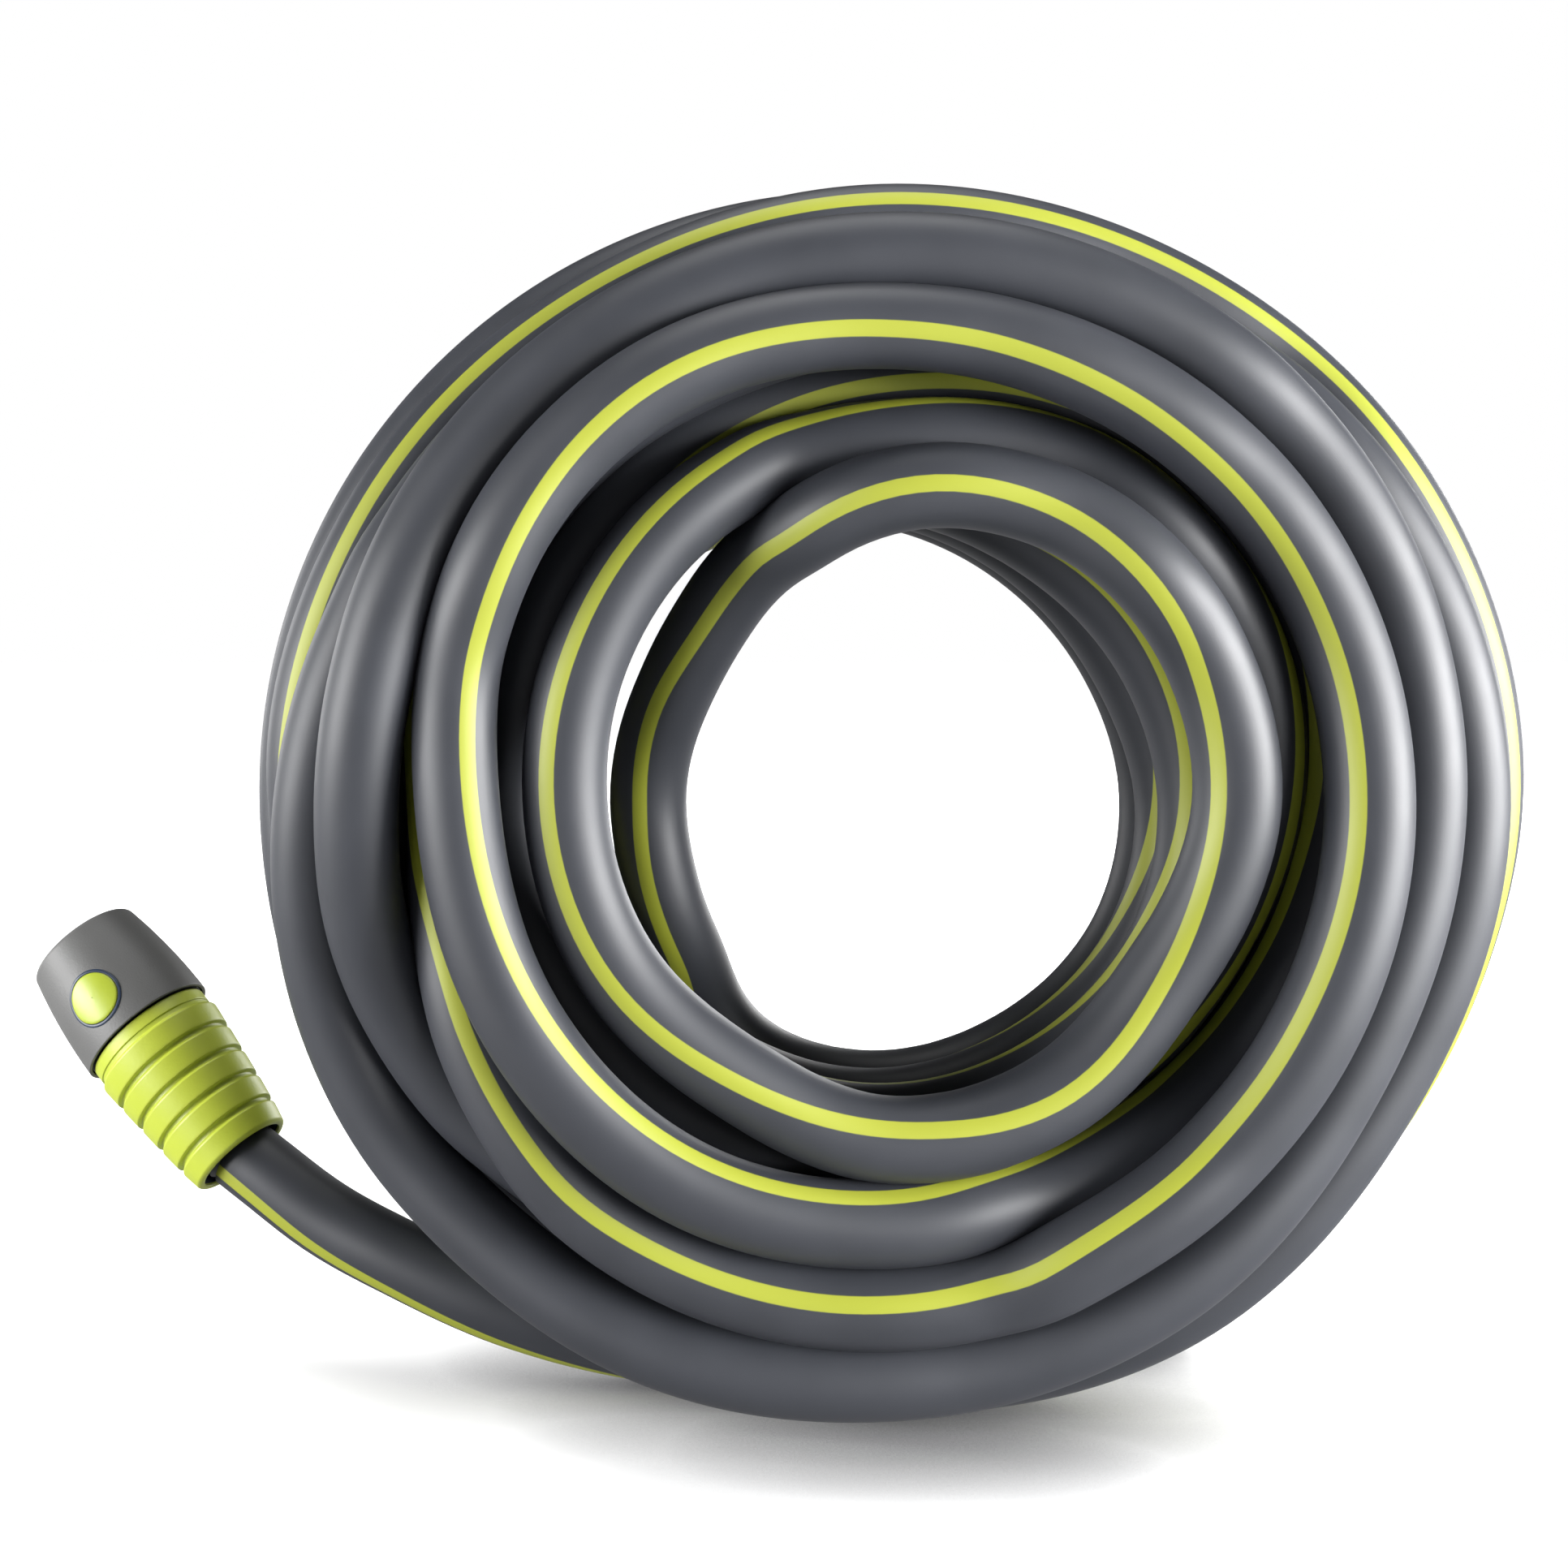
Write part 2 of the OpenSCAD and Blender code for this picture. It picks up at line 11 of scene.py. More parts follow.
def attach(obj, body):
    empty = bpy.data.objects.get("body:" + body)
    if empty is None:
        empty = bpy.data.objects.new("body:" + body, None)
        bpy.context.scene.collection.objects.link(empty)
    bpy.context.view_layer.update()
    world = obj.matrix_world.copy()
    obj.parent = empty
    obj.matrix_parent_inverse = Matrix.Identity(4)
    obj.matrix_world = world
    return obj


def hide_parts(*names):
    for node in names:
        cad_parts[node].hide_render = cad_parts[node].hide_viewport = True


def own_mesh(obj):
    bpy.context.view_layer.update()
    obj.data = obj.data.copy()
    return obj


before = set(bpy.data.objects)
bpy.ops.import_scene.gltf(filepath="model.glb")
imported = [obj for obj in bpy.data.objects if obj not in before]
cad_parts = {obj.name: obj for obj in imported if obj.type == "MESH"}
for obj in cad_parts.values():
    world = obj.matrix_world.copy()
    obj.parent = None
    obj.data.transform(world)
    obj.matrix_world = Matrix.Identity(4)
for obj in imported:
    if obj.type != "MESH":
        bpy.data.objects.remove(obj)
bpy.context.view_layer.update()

# The hose: one unbroken length of half inch garden hose in smooth slate PVC, with a lime
# stripe extruded into its skin. It is wound by hand, so each turn lies where the turns
# under it leave room, and it turns about its own line as it goes round.
hose_d = 0.0175
hose_entry = 0.001
coil_mid_z = 0.138
front_layer_y = -0.034
viewer_place = np.array([-0.06905, -0.44997, 0.18725])

# Each row is a place that the winding passes: angle clockwise from the top, seen from the
# front, in degrees; distance from the coil's axis and depth behind the front layer, in mm;
# the way the stripe faces, in degrees from the front outwards.

# The outermost turn of the back, then its middle turns
back_turns = [
    (262.5, 131, 54, -210), (300, 131, 54, -210), (0, 130, 54, -210), (50, 129, 54, -210),
    (80, 109, 39, -230), (180, 109, 38, -230), (270, 107, 38, -230), (20, 107, 38, -230),
    (50, 106, 53, -190), (120, 106, 54, -190), (180, 106, 54, -190), (270, 106, 54, -190),
    (350, 106, 54, -190), (20, 90, 54, -160), (90, 88, 54, -160), (180, 88, 54, -160),
    (270, 88, 54, -160), (320, 89, 54, -160), (350, 90, 38, -110), (90, 91, 39, -110),
    (180, 91, 38, -110), (270, 90, 38, -110), (290, 89, 38, -100),
]
# Three turns round the hole, one behind the other
hole_turns = [
    (320, 77, 35, -70), (0, 71, 32, -60), (30, 68, 31, -10), (66, 69, 31, -13), (93, 71, 32, -38),
    (120, 72, 33, -76), (150, 72, 34, -95), (180, 72, 35, -98), (210, 71, 36, -98),
    (240, 71, 38, -100), (262, 72, 42, -105), (290, 73, 50, -110), (330, 76, 52, -80),
    (0, 71, 50, -50), (37, 67, 49, -8), (66, 67, 49, -4), (93, 71, 50, -42), (120, 73, 51, -82),
    (150, 73, 52, -103), (180, 73, 53, -125), (210, 71, 53, -135), (232, 71, 55, -140),
    (260, 72, 63, -145), (290, 73, 67, -150), (330, 76, 68, -165), (0, 71, 67, -180),
    (37, 68, 67, -195), (66, 69, 67, -205), (93, 72, 67, -215), (120, 74, 67, -225),
    (150, 73, 66, -250), (180, 71, 63, -290), (205, 66, 57, -325),
]
# A loose turn, which cuts the corner of the hole on its way to the front
loose_turn = [
    (230, 55, 50, -340), (250, 51, 49, -340), (270, 50, 48, -345), (285, 50, 43, -342),
    (300, 51, 35, -340), (315, 54, 26, -349), (330, 59, 17, -354), (345, 63.5, 6, -356),
]
# Front, from the hole outwards: the innermost turn
inner_turn = [
    (0, 67.5, -2, -358), (20, 70, -4, -365), (42, 71, -3, -377), (64, 70, -2, -394),
    (88, 68, -2, -402), (105, 65, -1, -392), (120, 63, 0, -378), (151, 65, 0, -370),
    (182, 66, 0, -388), (213, 63, 0, -363), (243, 66, 0, -344), (272, 69, 0, -335),
    (300, 73, 1, -334), (330, 77, 5, -325),
]
# Second turn, half sunk between its neighbours
second_turn = [
    (0, 78, 8, -300), (14, 80, 8, -292), (29, 82, 9, -285), (50, 82, 10, -285), (70, 81, 11, -315),
    (89, 78, 13, -326), (110, 74, 17, -318), (125, 73, 20, -325), (150, 75, 22, -360),
    (180, 77, 21, -405), (210, 78, 19, -420), (240, 80, 18, -415), (270, 81, 18, -405),
    (300, 83, 18, -398), (330, 88, 18, -382), (0, 91, 18, -365), (30, 95, 18, -360),
    (50, 97, 18, -365), (83, 97, 18, -408), (100, 95, 18, -428), (120, 91, 16, -436),
    (142, 86, 10, -436), (165, 83, 3, -424),
]
# Third turn, back on top
third_turn = [
    (182, 83, -1, -415), (212, 86, -4, -410), (242, 88, -5, -398), (272, 91, -3, -382),
    (300, 99, 0, -380), (330, 103, 0, -364), (0, 101, 0, -371), (43, 99, 0, -388),
    (90, 96, 0, -396), (120, 95, 0, -402), (150, 96, 0, -396), (180, 100, 0, -382),
    (210, 103, 3, -374), (222, 103, 4, -366), (232, 101, 5, -360), (243, 99, 8, -354),
    (255, 96, 12, -338), (270, 94, 15, -302),
]
# Most of a turn, out of sight under the third
sunk_turn = [
    (300, 105, 18, -340), (330, 107, 18, -300), (0, 108, 18, -260), (60, 109, 18, -230),
    (120, 111, 18, -210), (180, 108, 17, -210), (210, 105, 20, -210), (225, 107, 21, -210),
]
# Fourth turn, up to the front again
fourth_turn = [
    (234, 110, 20, -210), (245, 112, 17, -210), (257, 113, 10, -210), (270, 112, 2, -210),
    (315, 115, 2, -210), (0, 116, 4, -210), (43, 114, 4, -210), (90, 108, 4, -210),
    (120, 106, 4, -210), (150, 111, 3, -210),
]
# Fifth turn, round the edge
fifth_turn = [
    (180, 115, 2, -210), (207, 122, 9, -210), (225, 125.5, 19, -210), (236, 127.5, 24, -210),
    (248, 127, 24, -210), (259, 125, 20, -210), (270, 122.5, 16, -210), (300, 117, 16, -210),
    (318, 116, 18, -220), (0, 117, 20, -240), (30, 119, 20, -240), (60, 123, 20, -240),
    (90, 124, 19, -240), (120, 121, 19, -240), (150, 125, 23, -250),
]
# Last turn, on the rim that the coil stands on
rim_turn = [
    (180, 126, 34, -260), (210, 121, 39, -270), (240, 121, 43, -280), (256, 123, 39, -300),
    (270, 126, 33, -329), (300, 125.5, 30, -332), (330, 124.5, 30, -328), (0, 127, 30, -330),
    (30, 129, 30, -333), (60, 132, 30, -334), (90, 132, 30, -328), (105, 129.5, 31, -318),
    (119, 127.5, 31, -310), (134, 127, 33, -294), (150, 128, 38, -276), (165, 129, 45, -275),
    (187, 129, 51, -275),
]
winding = back_turns + hole_turns + loose_turn + inner_turn + second_turn + third_turn
winding += sunk_turn + fourth_turn + fifth_turn + rim_turn

# The two connectors stand at the ends of the hose, so their places come before its line.
tool_place = Vector((-0.147, 0.041, 0.0475))
tool_lean = math.radians(47)
tool_heading = math.radians(152)
tool_spin = math.radians(100)
tap_place = Vector((0.012, 0.04585, 0.0136))
tap_lean = math.radians(84.7)
tap_heading = 0.0
tap_spin = math.radians(200)


def stand(place, lean, heading, spin):
    """Frame of a connector: its own +Z runs from the hose to the socket."""
    turn = Matrix.Rotation(heading, 4, "Z") @ Matrix.Rotation(lean, 4, "Y") @ Matrix.Rotation(spin, 4, "Z")
    return Matrix.Translation(place) @ turn


tool_frame = stand(tool_place, tool_lean, tool_heading, tool_spin)
tap_frame = stand(tap_place, tap_lean, tap_heading, tap_spin)

# Free stretches: from the tap connector up into the coil, and from the coil to the tool
# connector. Each way is in mm, and each stretch ends just inside the mouth of its connector.
tap_way = (
    (-30, 45, 12), (-55, 43, 19), (-77, 38, 33), (-97, 32, 52), (-114, 26, 75), (-125, 20, 98),
)
tap_facing = -210
tap_points = [tap_frame @ Vector((0, 0, z)) for z in (hose_entry, -0.004, -0.0095)]
tap_points += [Vector(p) / 1000 for p in tap_way]
tool_way = (
    (-38, 18, 9.6), (-58, 18, 12.6), (-83, 20, 18.8), (-106.6, 26, 27.1), (-126, 33, 35),
    (-141.7, 38.9, 44.5),
)
tool_facings = (-286, -298, -310, -318, -325, -330, -332)
tool_points = [Vector(p) / 1000 for p in tool_way]
tool_points.append(tool_frame @ Vector((0, 0, hose_entry)))


def smooth_through(knots, values, at):
    """Curve that passes through each of the values, read off at the given stations."""
    slope = np.gradient(values, knots, axis=0)
    i = np.clip(np.searchsorted(knots, at, side="right") - 1, 0, len(knots) - 2)
    span = (knots[i + 1] - knots[i])[:, None]
    u = (at - knots[i])[:, None] / span
    return (
        (2 * u**3 - 3 * u**2 + 1) * values[i] + (u**3 - 2 * u**2 + u) * span * slope[i]
        + (3 * u**2 - 2 * u**3) * values[i + 1] + (u**3 - u**2) * span * slope[i + 1]
    )


def stations(line):
    """Distance along a line of points, from its first point to each of them."""
    return np.r_[0, np.cumsum(np.linalg.norm(np.diff(line[:, :3], axis=0), axis=1))]


def evenly(line, step):
    """The same line with its points a step apart."""
    along = stations(line)
    count = round(along[-1] / step)
    return smooth_through(along, line, np.linspace(0, along[-1], count + 1))


# The hose's line as it is laid out, with the way that the stripe faces as a fourth value
angle_step = 3.0
settle_step = 0.005
rows = np.array(winding, float)
angle = rows[:, 0].copy()
for i in range(1, len(angle)):
    while angle[i] <= angle[i - 1]:
        angle[i] += 360
wound_at = np.arange(angle[0], angle[-1], angle_step)
wound_out, wound_back, wound_facing = smooth_through(angle, rows[:, 1:], wound_at).T
wound_round = np.radians(wound_at)
wound = np.stack([
    wound_out / 1000 * np.sin(wound_round),
    front_layer_y + wound_back / 1000,
    coil_mid_z + wound_out / 1000 * np.cos(wound_round),
    wound_facing,
], 1)
tap_run = np.array([[*p, tap_facing] for p in tap_points])
tool_run = np.array([[*p, facing] for p, facing in zip(tool_points, tool_facings)])
laid = np.vstack([tap_run, wound, tool_run])
laid_at = stations(laid)
hose_line = evenly(laid, settle_step)
line_at = stations(hose_line)


def passes(row):
    """Distance along the hose at which it passes a row of the winding."""
    return laid_at[len(tap_run) + round((angle[row] - angle[0]) / angle_step)]


# Turns out of sight settle freely. The free stretches keep the line they were given, but for
# the last centimetre of the one that comes from the tap connector.
tap_release = 0.01
sunk_from = winding.index(sunk_turn[0])
sunk_to = winding.index(sunk_turn[-1])
hidden = (line_at < passes(len(back_turns))) | ((line_at > passes(sunk_from)) & (line_at < passes(sunk_to)))
held = (line_at < laid_at[len(tap_run)] - tap_release) | (line_at > laid_at[-len(tool_run)])


def settle(line, hidden, held):
    """Pushes turns apart until they lie on each other as soft hose does, and eases their bends.
    A turn that shows gives way along the viewer's line of sight, a hidden one any way it can."""
    squeeze = 0.0008
    self_reach = 0.045
    rounds = 240
    push_gain = 1.6
    bend_gain = 0.9
    hidden_pull = 0.01
    aside_pull = 0.3
    depth_pull = 0.008
    home = line[:, :3].copy()
    centre = home.copy()
    sight = home - viewer_place
    sight /= np.linalg.norm(sight, axis=1)[:, None]
    skip = round(self_reach / np.linalg.norm(home[1] - home[0]))
    apart = hose_d - squeeze
    give = np.where(held, 0.0, np.where(hidden, 1.0, 0.5))
    for _ in range(rounds):
        square = (centre**2).sum(1)
        gap2 = square[:, None] + square[None, :] - 2 * centre @ centre.T
        one, two = np.nonzero(np.triu(gap2 < apart**2, skip))
        across = centre[one] - centre[two]
        gap = np.maximum(np.linalg.norm(across, axis=1), 1e-9)
        shared = (apart - gap) / np.maximum(give[one] + give[two], 1e-9)
        push = across / gap[:, None] * shared[:, None]
        move = np.zeros_like(centre)
        hits = np.zeros(len(centre))
        np.add.at(move, one, push * give[one][:, None])
        np.add.at(move, two, -push * give[two][:, None])
        np.add.at(hits, np.r_[one, two], 1)
        centre += move / np.maximum(hits, 1)[:, None] * push_gain
        bend = np.zeros_like(centre)
        bend[2:-2] = (
            -centre[:-4] + 4 * centre[1:-3] - 6 * centre[2:-2] + 4 * centre[3:-1] - centre[4:]
        ) / 16
        centre += bend * bend_gain
        off = home - centre
        along = (off * sight).sum(1)[:, None] * sight
        back_home = aside_pull * (off - along) + depth_pull * along
        centre += np.where(hidden[:, None], hidden_pull * off, back_home)
        centre[:, 2] = np.maximum(centre[:, 2], hose_d / 2)
        centre[held] = home[held]
    return np.hstack([centre, line[:, 3:]])


# The skin is a round section carried along the line, with its seam opposite the stripe and a
# hair's breadth between it and the floor.
skin_step = 0.0033
hose_line = evenly(settle(hose_line, hidden, held), skin_step)
hose_sides = 32
floor_gap = 0.00005
way = np.gradient(hose_line[:, :3], axis=0)
way /= np.linalg.norm(way, axis=1)[:, None]
to_front = np.array([0, -1, 0]) + way[:, 1:2] * way
to_front /= np.linalg.norm(to_front, axis=1)[:, None]
outward = np.cross(to_front, way)
facing = np.radians(hose_line[:, 3])[:, None]
stripe_way = np.cos(facing) * to_front + np.sin(facing) * outward
side_way = np.cos(facing) * outward - np.sin(facing) * to_front
ring_at = 2 * np.pi * (np.arange(hose_sides) / hose_sides - 0.5)
to_stripe = np.cos(ring_at)[None, :, None] * stripe_way[:, None]
to_side = np.sin(ring_at)[None, :, None] * side_way[:, None]
hose_skin = (hose_line[:, None, :3] + hose_d / 2 * (to_stripe + to_side)).reshape(-1, 3)
hose_skin[:, 2] = np.maximum(hose_skin[:, 2], floor_gap)
rings = len(hose_line)
wall_count = (rings - 1) * hose_sides
hose_faces = []
for i in range(rings - 1):
    low, high = i * hose_sides, (i + 1) * hose_sides
    for k in range(hose_sides):
        n = (k + 1) % hose_sides
        hose_faces.append((low + k, low + n, high + n, high + k))
hose_faces.append(tuple(range(hose_sides))[::-1])
hose_faces.append(tuple(range(wall_count, wall_count + hose_sides)))


def new_piece(name, points, faces):
    """Smooth mesh piece in the scene."""
    mesh = bpy.data.meshes.new(name)
    mesh.from_pydata(points, [], faces)
    mesh.shade_smooth()
    piece = bpy.data.objects.new(name, mesh)
    bpy.context.collection.objects.link(piece)
    return piece


# The skin's map runs once round the hose, and in metres along it
garden_hose = new_piece("garden_hose", hose_skin.tolist(), hose_faces)
hose_mesh = garden_hose.data
hose_map = hose_mesh.uv_layers.new(name="round_and_along")
hose_at = stations(hose_line)
for face in hose_mesh.polygons:
    closes_ring = face.index < wall_count and face.index % hose_sides == hose_sides - 1
    for corner in face.loop_indices:
        i, k = divmod(hose_mesh.loops[corner].vertex_index, hose_sides)
        share = 1.0 if closes_ring and k == 0 else k / hose_sides
        hose_map.data[corner].uv = (share, hose_at[i])


def paint(r, g, b):
    """Linear colour of a paint that is given by its screen values, 0 to 255."""
    linear = [((c / 255 + 0.055) / 1.055) ** 2.4 if c > 10 else c / 255 / 12.92 for c in (r, g, b)]
    return (*linear, 1.0)


def new_material(name, colour, roughness):
    """Material with a Principled shader; returns it with its nodes, links and shader."""
    material = bpy.data.materials.new(name)
    material.use_nodes = True
    nodes = material.node_tree.nodes
    links = material.node_tree.links
    shader = nodes["Principled BSDF"]
    shader.inputs["Base Color"].default_value = colour
    shader.inputs["Roughness"].default_value = roughness
    return material, nodes, links, shader


# Every plastic here has a skin with a fine grain and faint cloudiness from its tool
grain = bpy.data.node_groups.new("plastic_skin", "ShaderNodeTree")
for name, kind in (("Colour", "Color"), ("Shade", "Color"), ("Fineness", "Float"), ("Gloss", "Float")):
    grain.interface.new_socket(name, in_out="INPUT", socket_type=f"NodeSocket{kind}")
for name, kind in (("Colour", "Color"), ("Roughness", "Float"), ("Height", "Float")):
    grain.interface.new_socket(name, in_out="OUTPUT", socket_type=f"NodeSocket{kind}")
grain_in = grain.nodes.new("NodeGroupInput")
grain_out = grain.nodes.new("NodeGroupOutput")
grain_place = grain.nodes.new("ShaderNodeTexCoord")
cloudy = grain.nodes.new("ShaderNodeTexNoise")
cloudy.inputs["Scale"].default_value = 60
cloudy.inputs["Detail"].default_value = 4
fine = grain.nodes.new("ShaderNodeTexNoise")
fine.inputs["Detail"].default_value = 2
shaded = grain.nodes.new("ShaderNodeMix")
shaded.data_type = "RGBA"
dulled = grain.nodes.new("ShaderNodeMath")
dulled.operation = "MULTIPLY_ADD"
dulled.inputs[1].default_value = 0.12
grain.links.new(grain_place.outputs["Object"], cloudy.inputs["Vector"])
grain.links.new(grain_place.outputs["Object"], fine.inputs["Vector"])
grain.links.new(grain_in.outputs["Fineness"], fine.inputs["Scale"])
grain.links.new(cloudy.outputs["Fac"], shaded.inputs["Factor"])
grain.links.new(grain_in.outputs["Shade"], shaded.inputs["A"])
grain.links.new(grain_in.outputs["Colour"], shaded.inputs["B"])
grain.links.new(cloudy.outputs["Fac"], dulled.inputs[0])
grain.links.new(grain_in.outputs["Gloss"], dulled.inputs[2])
grain.links.new(shaded.outputs["Result"], grain_out.inputs["Colour"])
grain.links.new(dulled.outputs[0], grain_out.inputs["Roughness"])
grain.links.new(fine.outputs["Fac"], grain_out.inputs["Height"])


def grained(nodes, colour, shade, fineness, gloss):
    """The plastic skin in a material, clouded by its shade; fineness is in grains per metre."""
    skin = nodes.new("ShaderNodeGroup")
    skin.node_tree = grain
    skin.inputs["Colour"].default_value = colour
    skin.inputs["Shade"].default_value = shade
    skin.inputs["Fineness"].default_value = fineness
    skin.inputs["Gloss"].default_value = gloss
    return skin


hose_slate = paint(50, 52, 58)
stripe_lime = paint(144, 150, 44)
stripe_width = 0.0034
half_stripe = stripe_width / 2 / (math.pi * hose_d)
hose_pvc, nodes, links, shader = new_material("hose_pvc", hose_slate, 0.42)
skin = grained(nodes, hose_slate, paint(40, 42, 47), fineness=900, gloss=0.46)
round_hose = nodes.new("ShaderNodeUVMap")
round_hose.uv_map = "round_and_along"
split = nodes.new("ShaderNodeSeparateXYZ")
from_stripe = nodes.new("ShaderNodeMath")
from_stripe.operation = "SUBTRACT"
from_stripe.inputs[1].default_value = 0.5
aside = nodes.new("ShaderNodeMath")
aside.operation = "ABSOLUTE"
edge = nodes.new("ShaderNodeMapRange")
edge.interpolation_type = "SMOOTHSTEP"
edge.inputs["From Min"].default_value = half_stripe * 0.92
edge.inputs["From Max"].default_value = half_stripe * 1.08
edge.inputs["To Min"].default_value = 1
edge.inputs["To Max"].default_value = 0
tint = nodes.new("ShaderNodeMix")
tint.data_type = "RGBA"
tint.inputs["B"].default_value = stripe_lime
links.new(round_hose.outputs["UV"], split.inputs[0])
links.new(split.outputs["X"], from_stripe.inputs[0])
links.new(from_stripe.outputs[0], aside.inputs[0])
links.new(aside.outputs[0], edge.inputs["Value"])
links.new(skin.outputs["Colour"], tint.inputs["A"])
links.new(edge.outputs[0], tint.inputs["Factor"])
links.new(tint.outputs["Result"], shader.inputs["Base Color"])
links.new(skin.outputs["Roughness"], shader.inputs["Roughness"])

# Faint lines along the hose, left by the die that it was pressed through
stretched = nodes.new("ShaderNodeMapping")
stretched.inputs["Scale"].default_value = (160, 6, 1)
die_lines = nodes.new("ShaderNodeTexNoise")
die_lines.inputs["Scale"].default_value = 1
die_lines.inputs["Detail"].default_value = 2
relief = nodes.new("ShaderNodeMath")
relief.operation = "MULTIPLY_ADD"
relief.inputs[1].default_value = 0.5
bump = nodes.new("ShaderNodeBump")
bump.inputs["Strength"].default_value = 0.25
bump.inputs["Distance"].default_value = 0.00004
links.new(round_hose.outputs["UV"], stretched.inputs["Vector"])
links.new(stretched.outputs[0], die_lines.inputs["Vector"])
links.new(die_lines.outputs["Fac"], relief.inputs[0])
links.new(skin.outputs["Height"], relief.inputs[2])
links.new(relief.outputs[0], bump.inputs["Height"])
links.new(bump.outputs[0], shader.inputs["Normal"])
hose_mesh.materials.append(hose_pvc)

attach(garden_hose, "hose")
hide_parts("hose_coil", "hose_tail", "hose_tap_run")

# Nut covers: soft lime rubber moulded over the union nut of each connector, with five broad
# ribs for the hand that grow from the hose to a plain ring in front of the sleeve. Sizes on a
# connector are in mm, measured out from its axis and along it from the nut's mouth.
nut_length = 36.0
stop_ring_length = 3.2
stop_ring_r = 15.9
stop_ring_wall = 1.4
mouth_gap = 2.1
mouth_r = 1000 * hose_d / 2 + mouth_gap
mouth_wall = 1.7
mouth_lip = 1.1
mouth_lip_length = 1
cover_flare = 4.25
ribs = 5
groove_width = 1.5
groove_depth = 1.1


def cover_r(z):
    """Outer radius of the ribs."""
    return mouth_r + mouth_wall + cover_flare * (z / nut_length) ** 0.8


# Each rib swells a little from its low edge, is chamfered at its high edge, and ends in a groove
cover_outline = [(mouth_r, 0)]
for k in range(ribs):
    low = k * nut_length / ribs
    high = (k + 1) * nut_length / ribs - groove_width
    groove_r = cover_r(high) - groove_depth
    cover_outline += [
        (cover_r(low) - (0.6 if k == 0 else 0), low), (cover_r(low) + 0.1, low + 0.6),
        (cover_r(high), high - 0.5), (cover_r(high) - 0.4, high),
        (groove_r, high + 0.2), (groove_r, high + groove_width - 0.1),
    ]
cover_outline += [
    (stop_ring_r, nut_length), (stop_ring_r, nut_length + stop_ring_length),
    (stop_ring_r - stop_ring_wall, nut_length + stop_ring_length), (stop_ring_r - stop_ring_wall, nut_length),
    (mouth_r + mouth_lip, mouth_lip_length), (mouth_r, mouth_lip_length),
]


def eased(outline, ease):
    """Outline with its corners rounded over a distance, and held flat beside each rounding.
    A corner that turns less than the blunt angle stays as it is."""
    blunt = math.radians(14)
    side_share = 0.45
    long_side = 2.6
    flat_from = 1.25
    points = []
    for i, corner in enumerate(outline):
        here = Vector(corner)
        back = Vector(outline[i - 1]) - here
        on = Vector(outline[(i + 1) % len(outline)]) - here
        reach = min(ease, side_share * back.length, side_share * on.length)
        if back.angle(-on, 0) < blunt or reach < 0.01:
            points.append(here)
            continue
        start = here + back.normalized() * reach
        end = here + on.normalized() * reach
        if back.length > long_side * reach:
            points.append(here + back.normalized() * reach * flat_from)
        points += [start.lerp(here, t).lerp(here.lerp(end, t), t) for t in (0, 0.25, 0.5, 0.75, 1)]
        if on.length > long_side * reach:
            points.append(here + on.normalized() * reach * flat_from)
    return points


def turned_piece(name, outline, ease, place):
    """Outline spun about a connector's axis into a closed ring-shaped piece."""
    steps = 128
    profile = eased(outline, ease)
    count = len(profile)
    points = [
        place @ Vector((r * math.cos(a) / 1000, r * math.sin(a) / 1000, z / 1000))
        for a in (2 * math.pi * s / steps for s in range(steps)) for r, z in profile
    ]
    faces = []
    for s in range(steps):
        here, there = s * count, (s + 1) % steps * count
        for i in range(count):
            n = (i + 1) % count
            faces.append((here + i, there + i, there + n, here + n))
    return new_piece(name, points, faces)


def plastic(name, colour, shade, fineness, roughness, relief):
    """Moulded plastic with the skin's grain standing up from it; relief is its height in metres."""
    material, nodes, links, shader = new_material(name, colour, roughness)
    skin = grained(nodes, colour, shade, fineness, gloss=roughness - 0.06)
    bump = nodes.new("ShaderNodeBump")
    bump.inputs["Strength"].default_value = 0.6
    bump.inputs["Distance"].default_value = relief
    links.new(skin.outputs["Colour"], shader.inputs["Base Color"])
    links.new(skin.outputs["Roughness"], shader.inputs["Roughness"])
    links.new(skin.outputs["Height"], bump.inputs["Height"])
    links.new(bump.outputs[0], shader.inputs["Normal"])
    return material


cover_rubber = plastic(
    "cover_rubber", paint(176, 187, 63), paint(164, 177, 51), fineness=1500, roughness=0.42, relief=0.00006,
)
for end, place in (("tool", tool_frame), ("tap", tap_frame)):
    cover = turned_piece(f"{end}_grip_cover", cover_outline, ease=0.35, place=place)
    cover.data.materials.append(cover_rubber)
    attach(cover, f"{end}_nut_body")
    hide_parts(f"{end}_nut_cover")

# Release sleeves: hard grey shells with a fine spark texture and a rounded nose, slid back to
# let a plug go. Inside, a skirt clears the stop ring, and a room holds the return spring.
sleeve_z = 39.5
sleeve_length = 28.7
sleeve_end = sleeve_z + sleeve_length
sleeve_r = 17.1
tip_r = 14.5
tip_round = 1.6
nose_bore_r = 11.3
nose_lip_z = 65.4
claw_room_r = 12.3
spring_top_z = 50.5
spring_room_r = 15
skirt_top_z = 45.7
skirt_bore_r = 16.2
side_length = sleeve_length - tip_round
side_steps = 12


def sleeve_side(z):
    """Outer radius of the sleeve, which draws in towards its nose."""
    return sleeve_r - (sleeve_r - tip_r) * ((z - sleeve_z) / side_length) ** 2


